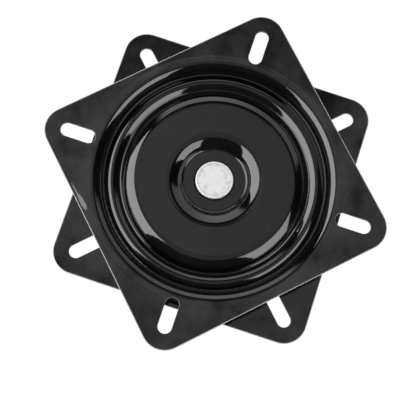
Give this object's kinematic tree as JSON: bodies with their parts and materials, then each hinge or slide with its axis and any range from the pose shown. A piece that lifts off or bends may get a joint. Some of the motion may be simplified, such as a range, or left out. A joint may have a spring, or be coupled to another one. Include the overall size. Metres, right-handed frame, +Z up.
{
  "type": "lazy susan bearing",
  "caption": "Square turntable bearing of two pressed steel plates on a ring of balls, joined by a centre rivet, with a slot at each corner for screws.",
  "frame": {"origin": "on the turning axis, level with the outer face of the lower plate's flange, which it stands on", "axes": "+Z up along the turning axis, from the lower plate to the upper one; X and Y along the lower plate's sides, and at rest along the upper plate's diagonals"},
  "size_m": [0.2682, 0.2682, 0.0244],
  "materials": {
    "black_paint": "gloss black paint",
    "zinc_steel": "bright zinc plate",
    "ball_steel": "polished steel, greased",
    "cage_plastic": "moulded black nylon"
  },
  "bodies": {
    "base": {"lower_plate": "black_paint", "centre_rivet": "zinc_steel", "hub_washer": "zinc_steel"},
    "top": {"upper_plate": "black_paint"},
    "cage": {"ball_cage": "cage_plastic", "ball_01": "ball_steel", "ball_02": "ball_steel", "ball_03": "ball_steel", "ball_04": "ball_steel", "ball_05": "ball_steel", "ball_06": "ball_steel", "ball_07": "ball_steel", "ball_08": "ball_steel", "ball_09": "ball_steel", "ball_10": "ball_steel", "ball_11": "ball_steel", "ball_12": "ball_steel", "ball_13": "ball_steel", "ball_14": "ball_steel", "ball_15": "ball_steel", "ball_16": "ball_steel", "ball_17": "ball_steel", "ball_18": "ball_steel", "ball_19": "ball_steel", "ball_20": "ball_steel", "ball_21": "ball_steel", "ball_22": "ball_steel", "ball_23": "ball_steel", "ball_24": "ball_steel", "ball_25": "ball_steel", "ball_26": "ball_steel", "ball_27": "ball_steel", "ball_28": "ball_steel", "ball_29": "ball_steel", "ball_30": "ball_steel", "ball_31": "ball_steel", "ball_32": "ball_steel", "ball_33": "ball_steel", "ball_34": "ball_steel", "ball_35": "ball_steel", "ball_36": "ball_steel"}
  },
  "joints": [
    {"name": "swivel", "type": "hinge", "parent": "base", "child": "top", "pos_m": [0, 0, 0.01218], "axis": [0, 0, 1], "continuous": true},
    {"name": "cage_turn", "type": "hinge", "parent": "base", "child": "cage", "pos_m": [0, 0, 0.01218], "axis": [0, 0, 1], "continuous": true}
  ],
  "couplings": [
    {"joint": "cage_turn", "follows": "swivel", "ratio": 0.5}
  ]
}
